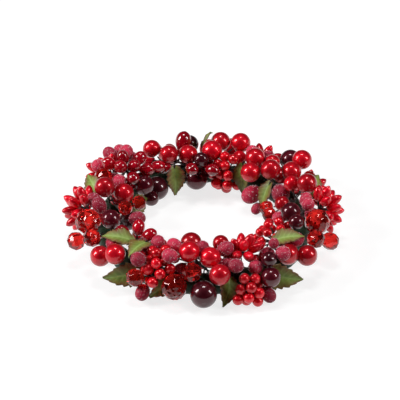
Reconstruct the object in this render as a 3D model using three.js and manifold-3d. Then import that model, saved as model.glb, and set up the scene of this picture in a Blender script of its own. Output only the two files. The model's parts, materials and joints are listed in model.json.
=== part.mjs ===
// A candle-ring berry wreath: wired berry picks and leaves bound to a hoop with floral tape.
// Millimetres, +Z up. The origin is on the ring's axis, at the table. Front is -Y, right is +X.
import * as THREE from 'three';
import { mergeVertices } from 'three/addons/utils/BufferGeometryUtils.js';
import Module from 'manifold-3d';

const wasm = await Module();
wasm.setup();

// Base ring: a thick covered hoop, the stems laid along it, and the tape wound over both
const HOOP_RADIUS = 58;
const HOOP_WIRE = 6;
const STEM_WIRE = 1.2;
const TAIL_LENGTH = 6;
const TAPE_WIDTH = 13;
const TAPE_THICKNESS = 0.9;
const TAPE_TURNS = 20;
const TAPE_END_GAP = 3;
const FLAT_DEPTH = 0.5;
const SEAT = 0.3;

// Room left inside the ring for a candle
const INNER_REACH = 24;

// Berries and beads: diameter across the stem, and length along it where it is longer
const RED_BERRY = 12;
const SMALL_RED_BERRY = 9;
const CHERRY = 11.4;
const LARGE_CHERRY = 13.4;
const FRONT_CHERRY = 16.8;
const SMALL_CHERRY = 8.8;
const CRYSTAL = 11;
const LARGE_CRYSTAL = 15;
const SMALL_CRYSTAL = 9;
const FROSTED = 8;
const LARGE_FROSTED = 10.4;
const SMALL_FROSTED = 6;
const FROSTED_STRETCH = 1.25;
const DROP = 7.2;
const DROP_STRETCH = 1.3;
const PIP = 5;
const PIP_STRETCH = 1.75;
const MINI_BERRY = 6;

// Leaves
const LARGE_LEAF_LENGTH = 27;
const LARGE_LEAF_WIDTH = 16;
const LEAF_LENGTH = 21;
const LEAF_WIDTH = 13;
const LEAF_THICKNESS = 0.6;
const LEAF_TEETH = 3;
const LEAF_CUP = 0.18;
const LEAF_ARCH = 0.1;
const LEAF_FULLNESS = 0.75;
const PETIOLE_SHARE = 0.12;
const LEAF_LIFT = 6;
const STALK_LEAD = 3;

// How the picks settle against each other
const CLEARANCE = 0.5;
const FLOOR_CLEARANCE = 0.5;
const SETTLE_PASSES = 300;
const SAMPLE_STEP = 1.2;
const NECK = 4;

// Facets
const HOOP_STEPS = 36;
const HOOP_SIDES = 6;
const TAPE_STEPS = 8;
const WIRE_SIDES = 4;
const WELD = 0.2;
const SAME_POINT = 1e-4;
const PINCH = 4e-3;
const HAIR = 0.02;
const JOIN_ATTEMPTS = 8;

const FULL_TURN = 360;
const { degToRad: degrees, radToDeg } = THREE.MathUtils;
const polar = (angle, radius, height) => new THREE.Vector3(
  radius * Math.cos(degrees(angle)),
  radius * Math.sin(degrees(angle)),
  height,
);

// The tails lie against the hoop, and the tape lies over the tails
const TAIL_RADIUS = HOOP_WIRE / 2 + SEAT + STEM_WIRE / 2;
const TAPE_INNER = (TAIL_RADIUS + STEM_WIRE / 2 + SEAT) / Math.cos(Math.PI / TAPE_STEPS);
const TAPE_OUTER = TAPE_INNER + TAPE_THICKNESS;
const HOOP_HEIGHT = TAPE_OUTER - FLAT_DEPTH;
const TAPE_PITCH = FULL_TURN / TAPE_TURNS;
const BOTTOM_SLOT = -90;

// A place beside the hoop: where along the ring, which way round the wire, how far from its middle
function besideHoop(ringAngle, slot, distance) {
  const radius = HOOP_RADIUS + distance * Math.cos(degrees(slot));
  return polar(ringAngle, radius, HOOP_HEIGHT + distance * Math.sin(degrees(slot)));
}

// A place given by ring angle, distance outwards from the hoop, and height above the table
const placeOf = ([angle, out, up]) => polar(angle, HOOP_RADIUS + out, up);

// Picks of round berries: each berry is [ring angle, outwards from the hoop, height, other diameter]
const RED_BERRY_PICKS = {
  left: [[174, 2, 27], [173, -10, 25], [168, -5, 16, SMALL_RED_BERRY]],
  left_front: [[226, 12, 24], [219, 17, 18]],
  back_left: [[120, 5, 26], [114, -8, 26]],
  back: [[101, -8, 25], [84, -7, 26], [79, 6, 26], [70, 7, 26], [66, -1, 22, SMALL_RED_BERRY]],
  back_right: [
    [53, -5, 27], [41, -2, 27, SMALL_RED_BERRY], [48, -14, 23], [31, -11, 24], [36, 0, 17, SMALL_RED_BERRY],
  ],
  right_back: [[34, 15, 27], [28, 3, 26], [22, 7, 20, SMALL_RED_BERRY]],
  right: [[8, 3, 27], [15, -3, 27, SMALL_RED_BERRY], [1, -11, 21, SMALL_RED_BERRY]],
  right_front: [[321, 17, 18], [315, 11, 24]],
  front: [[262, -13, 24], [264, 3, 26], [272, 3, 26], [277, 12, 22], [284, -13, 24, SMALL_RED_BERRY]],
  back_outer: [[87, 20, 11], [76, 19, 14], [98, 18, 12], [107, 16, 11]],
};
const CHERRY_PICKS = {
  front: [[270, 16.5, 11, FRONT_CHERRY]],
  back_right: [[44, 17, 20, LARGE_CHERRY]],
  back: [[95, 10, 20], [93, -14, 25, SMALL_CHERRY], [97, -15, 13, LARGE_CHERRY]],
  back_left: [[146, -15, 17], [136, -16, 10, SMALL_CHERRY], [124, -15, 12, LARGE_CHERRY]],
  right: [[342, -4, 27], [333, 3, 28, SMALL_CHERRY]],
  left: [[203, 1, 26], [188, -13, 14]],
  front_right: [[301, 14, 25, SMALL_CHERRY], [299, 18, 15]],
};
const CRYSTAL_PICKS = {
  left: [[197, 12, 24, LARGE_CRYSTAL], [201, 22, 15], [209, 16, 22]],
  right: [[343, 12, 24, LARGE_CRYSTAL], [339, 22, 15], [331, 17, 22]],
  left_inner: [[193, -11, 26, SMALL_CRYSTAL], [172, -18, 20, SMALL_CRYSTAL], [160, 6, 27]],
  right_inner: [[353, -18, 18, SMALL_CRYSTAL], [12, -19, 14, SMALL_CRYSTAL], [17, 12, 26, SMALL_CRYSTAL]],
  front: [[256, 14, 14, LARGE_CRYSTAL], [265, 10, 20], [240, 17, 14]],
};
const FROSTED_PICKS = {
  left_back: [
    [142, 15, 26], [135, 15, 25], [150, 14, 22], [156, 0, 24], [137, 6, 30], [127, 16, 16], [151, 3, 21],
  ],
  left: [[180, 4, 28], [192, 6, 28], [201, -16, 22], [220, 10, 27], [183, 4, 19]],
  right: [[359, 4, 28], [349, 6, 28], [355, 7, 20], [345, -11, 20]],
  right_front: [[321, 10, 27], [309, 16, 26], [310, 7, 28, SMALL_FROSTED]],
  front_left: [[236, -6, 24], [238, 10, 26], [244, 18, 9], [235, 0, 19]],
  front: [[255, 6, 26], [282, -2, 27], [268, -6, 24], [251, -6, 25], [284, 2, 20], [258, 6, 18]],
  front_right: [[286, 11, 24], [297, 18, 8], [304, 3, 21], [297, 8, 20], [300, 1, 16, SMALL_FROSTED]],
  back_right: [
    [60, 3, 24], [51, 3, 23], [49, -17, 13, LARGE_FROSTED], [19, -10, 20, LARGE_FROSTED],
    [33, -20, 8, SMALL_FROSTED],
  ],
};
const DROP_PICKS = {
  back_left: [
    [152, 6, 30], [151, -1, 30], [145, 0, 31], [135, -3, 29], [145, -5, 27],
    [138, -11, 26], [152, -10, 26], [141, -9, 20], [151, -6, 20], [122, -10, 22],
  ],
  back: [
    [104, -17, 19], [102, 4, 26, SMALL_CRYSTAL], [81, -18, 20], [114, 15, 19], [119, 13, 13], [107, 3, 23],
    [87, -9, 18], [117, -6, 19],
  ],
  left_inner: [
    [226, -12, 22], [218, 0, 28], [218, -11, 24], [232, -15, 17], [207, -15, 13], [223, -14, 16],
  ],
};

// Sprays fan out from a head: where the head is, which way the spray faces, and how many it holds
const PIP_SPRAYS = {
  left: { head: [182, 10, 19], facing: [177, 40, 28], count: 15, reach: 11 },
  right: { head: [358, 10, 19], facing: [3, 40, 28], count: 15, reach: 11 },
  back_left: { head: [146, 9, 16], facing: [151, 34, 30], count: 12, reach: 11 },
  front_right: { head: [296, -3, 17], facing: [296, -3, 40], count: 12, reach: 10 },
  back_outer: { head: [58, 9, 12], facing: [58, 40, 10], count: 10, reach: 10 },
  right_back: { head: [22, 9, 13], facing: [22, 40, 17], count: 9, reach: 10 },
};
const MINI_BERRY_CLUSTERS = {
  front_left: { head: [247, 3, 15], facing: [245, 20, 34], count: 15, reach: 11 },
  front_right: { head: [292, 11, 9], facing: [292, 40, 4], count: 13, reach: 10 },
  right: { head: [327, -6, 14], facing: [328, -22, 34], count: 16, reach: 12 },
  back: { head: [71, -8, 15], facing: [71, -40, 21], count: 14, reach: 11 },
  front_inner: { head: [271, -10, 12], facing: [271, -40, 20], count: 9, reach: 9 },
};
const SPRAY_SPREAD = 72;
const GOLDEN_ANGLE = 137.5;

// Leaves: where the blade starts and the point that its midrib runs towards
const LARGE_LEAVES = {
  front_left: { base: [241, 8, 13], towards: [226, 24, 9] },
  front_right: { base: [299, 8, 13], towards: [314, 24, 9] },
};
const LEAVES = {
  front_left_low: { base: [256.5, 4, 13], towards: [247, 19, 5] },
  front_right_low: { base: [286, 4, 14], towards: [281, 15, 6] },
  left: { base: [175, 4, 23], towards: [162, 16, 29] },
  right: { base: [5, 4, 23], towards: [18, 16, 29] },
  left_front: { base: [228, -1, 26], towards: [216, 14, 30] },
  right_front: { base: [312, -1, 26], towards: [324, 14, 30] },
  left_middle: { base: [232, -6, 26], towards: [234, 14, 28] },
  left_inner: { base: [176, -14, 15], towards: [149, -20, 13] },
  back_left_inner: { base: [113, -15, 24], towards: [115, -20, 3] },
  back: { base: [92, 1, 14], towards: [88, 5, 34] },
  back_inner: { base: [59, -12, 26], towards: [55, -17, 7] },
  back_right_inner: { base: [28, -13, 25], towards: [27, -19, 8] },
};

const finish = (color, roughness, metalness = 0) => ({ color, roughness, metalness });
const FINISHES = {
  hoop_cover: finish(0x24402a, 0.45),
  tape: finish(0x2c3f2e, 0.75),
  leaf: finish(0x5a7f35, 0.6),
  red_berry: finish(0xb4061a, 0.15),
  cherry: finish(0x3f0712, 0.12),
  crystal: finish(0x8f0a16, 0.05),
  frosted: finish(0xa92f49, 0.8),
  drop: finish(0xa50a1c, 0.2),
  pip: finish(0xd11029, 0.2),
  mini_berry: finish(0xc40d22, 0.2),
};

// Bead forms: how much longer than wide, and the facets round and along the bead
const BEADS = {
  red_berry: { diameter: RED_BERRY, stretch: 1, sides: 8, rings: 4 },
  cherry: { diameter: CHERRY, stretch: 1, sides: 8, rings: 4 },
  crystal: { diameter: CRYSTAL, stretch: 1, sides: 7, rings: 4 },
  frosted: { diameter: FROSTED, stretch: FROSTED_STRETCH, sides: 5, rings: 4, slim: true },
  drop: { diameter: DROP, stretch: DROP_STRETCH, sides: 5, rings: 4, slim: true },
  pip: { diameter: PIP, stretch: PIP_STRETCH, sides: 4, rings: 3, slim: true },
  mini_berry: { diameter: MINI_BERRY, stretch: 1, sides: 5, rings: 3, slim: true },
};

// Solids: closed geometries, joined or cut

function solidOf(geometry) {
  const bare = geometry.clone();
  bare.deleteAttribute('normal');
  bare.deleteAttribute('uv');
  const merged = mergeVertices(bare, SAME_POINT);
  const corners = [...merged.index.array];
  const triVerts = [];
  for (let i = 0; i < corners.length; i += 3) {
    const [a, b, c] = corners.slice(i, i + 3);
    if (a !== b && b !== c && c !== a) {
      triVerts.push(a, b, c);
    }
  }
  return new wasm.Manifold(new wasm.Mesh({
    numProp: 3,
    vertProperties: new Float32Array(merged.attributes.position.array),
    triVerts: new Uint32Array(triVerts),
  }));
}

function geometryOf(solid) {
  const mesh = solid.getMesh();
  const geometry = new THREE.BufferGeometry();
  geometry.setAttribute('position', new THREE.BufferAttribute(mesh.vertProperties, 3));
  geometry.setIndex(new THREE.BufferAttribute(mesh.triVerts, 1));
  geometry.computeVertexNormals();
  return geometry;
}

// Whether the skin stays closed when points that nearly meet are made one, on a grid set in two ways
function isSound(geometry) {
  return [0, PINCH / 2].every((nudge) => {
    const bare = geometry.clone().translate(nudge, nudge, nudge);
    bare.deleteAttribute('normal');
    const corners = mergeVertices(bare, PINCH).index.array;
    const edges = new Set();
    for (let i = 0; i < corners.length; i += 3) {
      for (let side = 0; side < 3; side++) {
        edges.add(`${corners[i + side]} ${corners[i + (side + 1) % 3]}`);
      }
    }
    const paired = [...edges].every((edge) => edges.has(edge.split(' ').reverse().join(' ')));
    return paired && edges.size === corners.length;
  });
}

// Joins solids into one. Where the skin comes out pinched, parted or looped, the pieces shift by a hair and
// join again.
function fuse(geometries) {
  const solids = geometries.map(solidOf);
  let geometry;
  for (let attempt = 0; attempt < JOIN_ATTEMPTS; attempt++) {
    const hair = attempt * HAIR;
    const shifted = solids.map((solid, i) => solid.translate(hair * Math.sin(i), hair * Math.cos(i), 0));
    const whole = shifted.reduce((joined, solid) => joined.add(solid));
    geometry = geometryOf(whole.asOriginal().simplify(WELD));
    const joined = solidOf(geometry);
    if (isSound(geometry) && joined.decompose().length === 1 && joined.genus() === 0) {
      break;
    }
  }
  return geometry;
}

// A closed skin over rings of points, each ring with as many points as the next
function loft(rings) {
  const sides = rings[0].length;
  const positions = rings.flat().flatMap((point) => point.toArray());
  const index = [];
  for (let ring = 0; ring + 1 < rings.length; ring++) {
    for (let side = 0; side < sides; side++) {
      const a = ring * sides + side;
      const b = ring * sides + (side + 1) % sides;
      index.push(a, b, b + sides, a, b + sides, a + sides);
    }
  }
  const last = (rings.length - 1) * sides;
  for (let side = 1; side + 1 < sides; side++) {
    index.push(0, side + 1, side);
    index.push(last, last + side, last + side + 1);
  }
  const geometry = new THREE.BufferGeometry();
  geometry.setAttribute('position', new THREE.Float32BufferAttribute(positions, 3));
  geometry.setIndex(index);
  return geometry;
}

// A round wire bent through the given points
function wire(points, diameter) {
  const directions = points.map((point, i) => {
    const before = points[Math.max(i - 1, 0)];
    const after = points[Math.min(i + 1, points.length - 1)];
    return after.clone().sub(before).normalize();
  });
  const steep = 0.9;
  const side = new THREE.Vector3(0, 0, 1);
  if (Math.abs(directions[0].z) > steep) {
    side.set(1, 0, 0);
  }
  const rings = points.map((point, i) => {
    side.addScaledVector(directions[i], -side.dot(directions[i])).normalize();
    const other = directions[i].clone().cross(side);
    return Array.from({ length: WIRE_SIDES }, (_, corner) => {
      const turn = 2 * Math.PI * corner / WIRE_SIDES;
      return point.clone()
        .addScaledVector(side, Math.cos(turn) * diameter / 2)
        .addScaledVector(other, Math.sin(turn) * diameter / 2);
    });
  });
  return loft(rings);
}

// A bead turned about the wire that comes to it from the head of its pick. A slim bead is turned in one
// with that wire.
function beadFrom(head, middle, form, diameter) {
  const reach = head.distanceTo(middle);
  const length = diameter * form.stretch;
  const nearEnd = reach - length / 2;
  const outline = [new THREE.Vector2(0, form.slim ? 0 : nearEnd)];
  if (form.slim) {
    outline.push(new THREE.Vector2(STEM_WIRE / 2, 0), new THREE.Vector2(STEM_WIRE / 2, nearEnd + SEAT));
  }
  for (let ring = 1; ring < form.rings; ring++) {
    const turn = Math.PI * ring / form.rings;
    outline.push(new THREE.Vector2(Math.sin(turn) * diameter / 2, reach - Math.cos(turn) * length / 2));
  }
  outline.push(new THREE.Vector2(0, reach + length / 2));
  const bead = new THREE.LatheGeometry(outline, form.sides);
  const direction = middle.clone().sub(head).normalize();
  bead.applyQuaternion(new THREE.Quaternion().setFromUnitVectors(new THREE.Vector3(0, 1, 0), direction));
  return bead.translate(head.x, head.y, head.z);
}

// Stems come out of the gaps between the turns of tape, at a few places round the hoop
const STEM_SLOTS = [-20, 20, 60, 100, 140, 180];
const EXIT_RISE = 2;

function stemExits() {
  const exits = [];
  const tailAngle = radToDeg(TAIL_LENGTH / HOOP_RADIUS);
  for (let turn = 0; turn < TAPE_TURNS; turn++) {
    for (const slot of STEM_SLOTS) {
      const angle = TAPE_PITCH * (turn + 0.5 + (slot - BOTTOM_SLOT) / FULL_TURN);
      const tail = [1, 0].map((part) => besideHoop(angle + part * tailAngle, slot, TAIL_RADIUS));
      exits.push({ tail, mouth: besideHoop(angle, slot, TAPE_OUTER + EXIT_RISE), free: true });
    }
  }
  return exits;
}

const exits = stemExits();

function takeNearestExit(place) {
  const free = exits.filter((exit) => exit.free);
  const distance = (exit) => exit.mouth.distanceTo(place);
  const nearest = free.reduce((best, exit) => (distance(exit) < distance(best) ? exit : best));
  nearest.free = false;
  return nearest;
}

// Settling: every wire and berry is a row of balls, carried by points that may give way. The balls of a pick
// or a leaf share one joint, the point where its wires meet.

const carriers = [];
const balls = [];

function pointAt(place, give) {
  const point = { at: place.clone(), home: place.clone(), give };
  carriers.push(point);
  return point;
}

function addBall(from, to, share, radius, joint, branch, isBead = false) {
  balls.push({ from, to, share, radius, joint, branch, isBead, at: new THREE.Vector3() });
}

function addWireBalls(from, to, joint, branch, shortenedBy = 0) {
  const span = from.at.distanceTo(to.at);
  const count = Math.max(1, Math.round((span - shortenedBy) / SAMPLE_STEP));
  for (let i = 1; i <= count; i++) {
    addBall(from, to, (i / count) * (1 - shortenedBy / span), STEM_WIRE / 2, joint, branch);
  }
}

function addBeadBalls(head, middle, form, diameter) {
  const span = head.at.distanceTo(middle.at);
  const overhang = diameter * (form.stretch - 1) / 2;
  const shares = overhang > 0 ? [1 - overhang / span, 1 + overhang / span] : [1];
  for (const share of shares) {
    addBall(head, middle, share, diameter / 2, head, middle, true);
  }
}

const locate = (ball) => ball.at.lerpVectors(ball.from.at, ball.to.at, ball.share);

function shift(ball, offset, weight) {
  const [a, b] = [1 - ball.share, ball.share];
  const total = ball.from.give * a * a + ball.to.give * b * b;
  if (total > 0) {
    ball.from.at.addScaledVector(offset, weight * ball.from.give * a / total);
    ball.to.at.addScaledVector(offset, weight * ball.to.give * b / total);
  }
}

const looseness = (ball) => ball.from.give * (1 - ball.share) ** 2 + ball.to.give * ball.share ** 2;

const isPastNeck = (ball) => ball.at.distanceTo(ball.joint.at) > NECK;

// Whether two balls have to be kept apart. The branches of one pick lie together only at its neck, and a stem
// belongs to the branch of the first bead.
function mayTouch(first, second) {
  if (first.joint === second.joint) {
    const isFree = first.isBead || second.isBead || (isPastNeck(first) && isPastNeck(second));
    return isFree && first.branch !== second.branch && looseness(first) + looseness(second) > 0;
  }
  return looseness(first) + looseness(second) > 0;
}

function nearPairs(margin) {
  const pairs = [];
  balls.forEach(locate);
  for (let i = 0; i < balls.length; i++) {
    for (let j = i + 1; j < balls.length; j++) {
      const reach = balls[i].radius + balls[j].radius + CLEARANCE + margin;
      if (balls[i].at.distanceToSquared(balls[j].at) < reach * reach && mayTouch(balls[i], balls[j])) {
        pairs.push([balls[i], balls[j]]);
      }
    }
  }
  return pairs;
}

const offset = new THREE.Vector3();

function separate([first, second]) {
  offset.subVectors(locate(second), locate(first));
  const distance = Math.max(offset.length(), SAME_POINT);
  const lack = first.radius + second.radius + CLEARANCE - distance;
  if (lack > 0) {
    const share = looseness(first) / (looseness(first) + looseness(second));
    offset.multiplyScalar(lack / distance);
    shift(first, offset, -share);
    shift(second, offset, 1 - share);
  }
}

// Nothing sinks into the table, the wrapped hoop or the candle's room
function keepOutside(ball) {
  const at = locate(ball);
  const sunk = ball.radius + FLOOR_CLEARANCE - at.z;
  if (sunk > 0) {
    shift(ball, offset.set(0, 0, sunk), 1);
  }
  const radius = Math.hypot(at.x, at.y);
  const inside = HOOP_RADIUS - INNER_REACH + ball.radius - radius;
  if (inside > 0) {
    shift(ball, offset.set(at.x, at.y, 0).multiplyScalar(inside / radius), 1);
  }
  const out = radius - HOOP_RADIUS;
  const up = at.z - HOOP_HEIGHT;
  const distance = Math.hypot(out, up);
  const lack = TAPE_OUTER + CLEARANCE + ball.radius - distance;
  if (lack > 0) {
    offset.set(at.x / radius * out, at.y / radius * out, up).multiplyScalar(lack / distance);
    shift(ball, offset, 1);
  }
}

function settle() {
  const refresh = 20;
  const watched = 2;
  const homing = 0.6;
  const pull = 0.04;
  let pairs = [];
  for (let pass = 0; pass < SETTLE_PASSES; pass++) {
    if (pass % refresh === 0) {
      pairs = nearPairs(watched);
    }
    if (pass < SETTLE_PASSES * homing) {
      carriers.forEach((point) => point.at.lerp(point.home, point.give > 0 ? pull : 0));
    }
    pairs.forEach(separate);
    balls.forEach(keepOutside);
  }
}

// A stem runs from its tail under the tape to the head of a pick or the base of a leaf
function stemTo(end, branch, from = end.at) {
  const exit = takeNearestExit(from);
  const mouth = pointAt(exit.mouth, 0);
  const bends = [1 / 3, 2 / 3].map((part) => pointAt(exit.mouth.clone().lerp(end.at, part), 1));
  const run = [mouth, ...bends, end];
  for (let i = 0; i + 1 < run.length; i++) {
    addWireBalls(run[i], run[i + 1], end, branch);
  }
  return { exit, run };
}

function stemWire({ exit, run }) {
  return wire([...exit.tail, ...run.map((point) => point.at)], STEM_WIRE);
}

// Picks: beads on wires, joined to one stem at its head

const HEAD_SHARE = 0.5;
const KNOT = 2.2;
const KNOTTED_FROM = 5;
const nearestOnHoop = (place) => {
  const angle = radToDeg(Math.atan2(place.y, place.x));
  return polar(angle, HOOP_RADIUS, HOOP_HEIGHT + TAPE_OUTER + EXIT_RISE);
};

function pick(name, kind, head, berries) {
  const form = BEADS[kind];
  const headPoint = pointAt(head, 1);
  const beads = berries.map(({ place, diameter }) => {
    const middle = pointAt(place, (PIP / diameter) ** 2);
    addWireBalls(headPoint, middle, headPoint, middle, diameter * form.stretch / 2);
    addBeadBalls(headPoint, middle, form, diameter);
    return { middle, diameter };
  });
  const stem = stemTo(headPoint, beads[0].middle);
  const knot = () => new THREE.OctahedronGeometry(KNOT / 2).translate(...headPoint.at.toArray());
  const build = () => fuse([
    stemWire(stem),
    ...(beads.length >= KNOTTED_FROM ? [knot()] : []),
    ...beads.map(({ middle, diameter }) => beadFrom(headPoint.at, middle.at, form, diameter)),
    ...(form.slim ? [] : beads.map(({ middle }) => wire([headPoint.at, middle.at], STEM_WIRE))),
  ]);
  return { name, finish: FINISHES[kind], build };
}

function placedPick(name, kind, places) {
  const berries = places.map((place) => ({
    place: placeOf(place),
    diameter: place[3] ?? BEADS[kind].diameter,
  }));
  const middle = new THREE.Vector3();
  berries.forEach(({ place }) => middle.addScaledVector(place, 1 / berries.length));
  return pick(name, kind, middle.clone().lerp(nearestOnHoop(middle), HEAD_SHARE), berries);
}

// The beads of a spray fan out evenly round the way that it faces
function spray(name, kind, { head, facing, count, reach }) {
  const headPlace = placeOf(head);
  const ahead = placeOf(facing).sub(headPlace).normalize();
  const turn = new THREE.Quaternion().setFromUnitVectors(new THREE.Vector3(0, 1, 0), ahead);
  const berries = Array.from({ length: count }, (_, i) => {
    const lean = degrees(SPRAY_SPREAD * Math.sqrt((i + 0.5) / count));
    const round = degrees(GOLDEN_ANGLE * i);
    const way = new THREE.Vector3().setFromSphericalCoords(reach, lean, round);
    const place = way.applyQuaternion(turn).add(headPlace);
    return { place, diameter: BEADS[kind].diameter };
  });
  return pick(name, kind, headPlace, berries);
}

// Leaves: a toothed blade, cupped along its midrib and arched along its length

function leafSurface(length, width, along, across) {
  const breadth = Math.sin(Math.PI * along ** LEAF_FULLNESS) * width / 2;
  const reach = across * breadth;
  const arch = -LEAF_ARCH * length * (2 * along - 1) ** 2;
  return new THREE.Vector3(along * length, reach, arch + LEAF_CUP * Math.abs(reach));
}

function leafBlade(length, width) {
  const stations = 2 * LEAF_TEETH + 2;
  const valley = 0.72;
  const blunt = 0.04;
  const rings = [];
  for (let station = 0; station <= stations; station++) {
    const along = THREE.MathUtils.clamp(station / stations, blunt, 1 - blunt / 2);
    const edge = station % 2 === 1 ? 1 : valley;
    const [left, rib, right] = [-edge, 0, edge].map((across) => leafSurface(length, width, along, across));
    const under = rib.clone().setZ(rib.z - LEAF_THICKNESS);
    rings.push([left, under, right, rib]);
  }
  return loft(rings);
}

// The upper face of a leaf looks up and away from the middle of the wreath's bulk
function leafFrame(base, towards) {
  const along = towards.clone().sub(base).normalize();
  const middle = base.clone().lerp(towards, 0.5);
  const face = middle.clone().sub(nearestOnHoop(middle)).add(new THREE.Vector3(0, 0, LEAF_LIFT));
  face.addScaledVector(along, -face.dot(along)).normalize();
  const across = face.clone().cross(along);
  return new THREE.Matrix4().makeBasis(along, across, face).setPosition(base);
}

function leaf(name, { base, towards }, length, width) {
  const frame = leafFrame(placeOf(base), placeOf(towards));
  const root = pointAt(leafSurface(length, width, 0, 0).applyMatrix4(frame), 0);
  const steps = Math.round(length / 2);
  for (let i = 1; i < steps; i++) {
    for (let j = -LEAF_TEETH; j <= LEAF_TEETH; j++) {
      const place = leafSurface(length, width, i / steps, j / LEAF_TEETH).applyMatrix4(frame);
      const fixed = pointAt(place, 0);
      addBall(fixed, fixed, 0, LEAF_THICKNESS, root, frame);
    }
  }
  const along = new THREE.Vector3().setFromMatrixColumn(frame, 0);
  const petioleEnd = leafSurface(length, width, PETIOLE_SHARE, 0).applyMatrix4(frame);
  const stem = stemTo(root, root, root.at.clone().addScaledVector(along, -STALK_LEAD));
  const build = () => fuse([
    leafBlade(length, width).applyMatrix4(frame),
    wire([root.at, petioleEnd], STEM_WIRE),
    stemWire(stem),
  ]);
  return { name, finish: FINISHES.leaf, build };
}

// The hoop is a closed ring
function hoop() {
  const ring = new THREE.TorusGeometry(HOOP_RADIUS, HOOP_WIRE / 2, HOOP_SIDES, HOOP_STEPS);
  return ring.translate(0, 0, HOOP_HEIGHT);
}

// The tape is one flat strip wound round the hoop, pressed flat where it stands on the table
function tapeRings() {
  const halfAngle = radToDeg(TAPE_WIDTH / 2 / HOOP_RADIUS);
  const endAngle = radToDeg(TAPE_END_GAP / HOOP_RADIUS);
  const steps = TAPE_TURNS * TAPE_STEPS;
  const last = Math.floor(steps * (1 - endAngle / FULL_TURN));
  return Array.from({ length: last + 1 }, (_, step) => {
    const middle = FULL_TURN * step / steps;
    const slot = BOTTOM_SLOT + FULL_TURN * step / TAPE_STEPS;
    return [
      besideHoop(middle - halfAngle, slot, TAPE_INNER),
      besideHoop(middle - halfAngle, slot, TAPE_OUTER),
      besideHoop(middle + halfAngle, slot, TAPE_OUTER),
      besideHoop(middle + halfAngle, slot, TAPE_INNER),
    ];
  });
}

function tape() {
  const rings = tapeRings();
  const neighbour = Math.floor(TAPE_STEPS / 2);
  let leastGap = Infinity;
  for (let i = 0; i < rings.length; i++) {
    for (let j = i + neighbour; j < rings.length; j++) {
      for (const here of rings[i]) {
        for (const there of rings[j]) {
          leastGap = Math.min(leastGap, here.distanceTo(there));
        }
      }
    }
  }
  console.log(`least gap between the turns of tape: ${leastGap.toFixed(2)} mm`);
  const across = 4 * HOOP_RADIUS;
  const below = new THREE.BoxGeometry(across, across, HOOP_RADIUS).translate(0, 0, -HOOP_RADIUS / 2);
  return geometryOf(solidOf(loft(rings)).subtract(solidOf(below)));
}

// The wreath

const parts = [
  { name: 'hoop_wire', finish: FINISHES.hoop_cover, build: hoop },
  { name: 'floral_tape', finish: FINISHES.tape, build: tape },
];

for (const [place, spot] of Object.entries(LARGE_LEAVES)) {
  parts.push(leaf(`leaf_${place}`, spot, LARGE_LEAF_LENGTH, LARGE_LEAF_WIDTH));
}
for (const [place, spot] of Object.entries(LEAVES)) {
  parts.push(leaf(`leaf_${place}`, spot, LEAF_LENGTH, LEAF_WIDTH));
}
const PLACED_PICKS = {
  red_berry: RED_BERRY_PICKS,
  cherry: CHERRY_PICKS,
  crystal: CRYSTAL_PICKS,
  frosted: FROSTED_PICKS,
  drop: DROP_PICKS,
};
for (const [kind, picks] of Object.entries(PLACED_PICKS)) {
  for (const [place, berries] of Object.entries(picks)) {
    parts.push(placedPick(`${kind}_pick_${place}`, kind, berries));
  }
}
for (const [place, layout] of Object.entries(PIP_SPRAYS)) {
  parts.push(spray(`pip_spray_${place}`, 'pip', layout));
}
for (const [place, layout] of Object.entries(MINI_BERRY_CLUSTERS)) {
  parts.push(spray(`mini_berry_cluster_${place}`, 'mini_berry', layout));
}

settle();

const wreath = new THREE.Group();
for (const part of parts) {
  const mesh = new THREE.Mesh(part.build(), new THREE.MeshStandardMaterial(part.finish));
  mesh.name = part.name;
  wreath.add(mesh);
}

export default wreath;
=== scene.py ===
# %% [markdown]
# # Dressing a berry wreath
#
# A wreath like this is put together on a bench: a hoop is wound with dark green tape, and wired picks of
# artificial berries and small leaves are caught under its turns. The frame holds each of these pieces as
# one plain closed solid, called a node, with a hinge where a pick can be bent by hand. A finished wreath
# could be modelled afresh, but then every berry would be placed twice. So this lesson finds the berries,
# wires and blades in the frame's own solids and puts a finished one in each place. Units are metres, in
# the frame's axes.

# %% Load the frame
import json
import math
import random

import bmesh
import bpy
import numpy as np
from mathutils import Matrix, Vector


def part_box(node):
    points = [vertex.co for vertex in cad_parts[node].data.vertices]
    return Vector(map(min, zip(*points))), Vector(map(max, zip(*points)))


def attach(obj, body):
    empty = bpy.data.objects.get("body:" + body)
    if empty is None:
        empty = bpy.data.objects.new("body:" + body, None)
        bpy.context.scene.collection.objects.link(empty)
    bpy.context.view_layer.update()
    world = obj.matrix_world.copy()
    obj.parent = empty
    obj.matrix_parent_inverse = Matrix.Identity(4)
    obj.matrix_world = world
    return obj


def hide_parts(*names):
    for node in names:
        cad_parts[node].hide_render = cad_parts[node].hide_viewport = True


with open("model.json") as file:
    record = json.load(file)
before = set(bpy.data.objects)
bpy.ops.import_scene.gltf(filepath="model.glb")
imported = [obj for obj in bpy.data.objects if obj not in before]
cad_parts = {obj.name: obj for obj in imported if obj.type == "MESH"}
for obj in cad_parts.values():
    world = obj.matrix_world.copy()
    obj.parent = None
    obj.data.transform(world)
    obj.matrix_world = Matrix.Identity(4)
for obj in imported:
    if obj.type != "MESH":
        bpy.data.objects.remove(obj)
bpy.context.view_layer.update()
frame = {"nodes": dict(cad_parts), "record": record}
MM = 0.001
slot_of = {part["node"]: part["material_slot"] for part in frame["record"]["subparts"]}
body_of = {node: body for body, nodes in frame["record"]["behaviour"]["bodies"].items() for node in nodes}

# %% [markdown]
# ## Camera
#
# The photograph looks down on the ring by 34 degrees, and the far side looks nearly as large as the near
# one, so the camera stood well away. A short lens close by would fill the picture too, but would swell
# the berries in front. So a long lens stands 1.3 m off. The Standard view shows colours as they are set,
# where a filmic one would dull the reds.

# %% Place the camera
ELEVATION = math.radians(34)
DISTANCE = 1.3
LENS = 194.2
AIM = Vector((-1.8, 11.5, 17.0)) * MM


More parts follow.
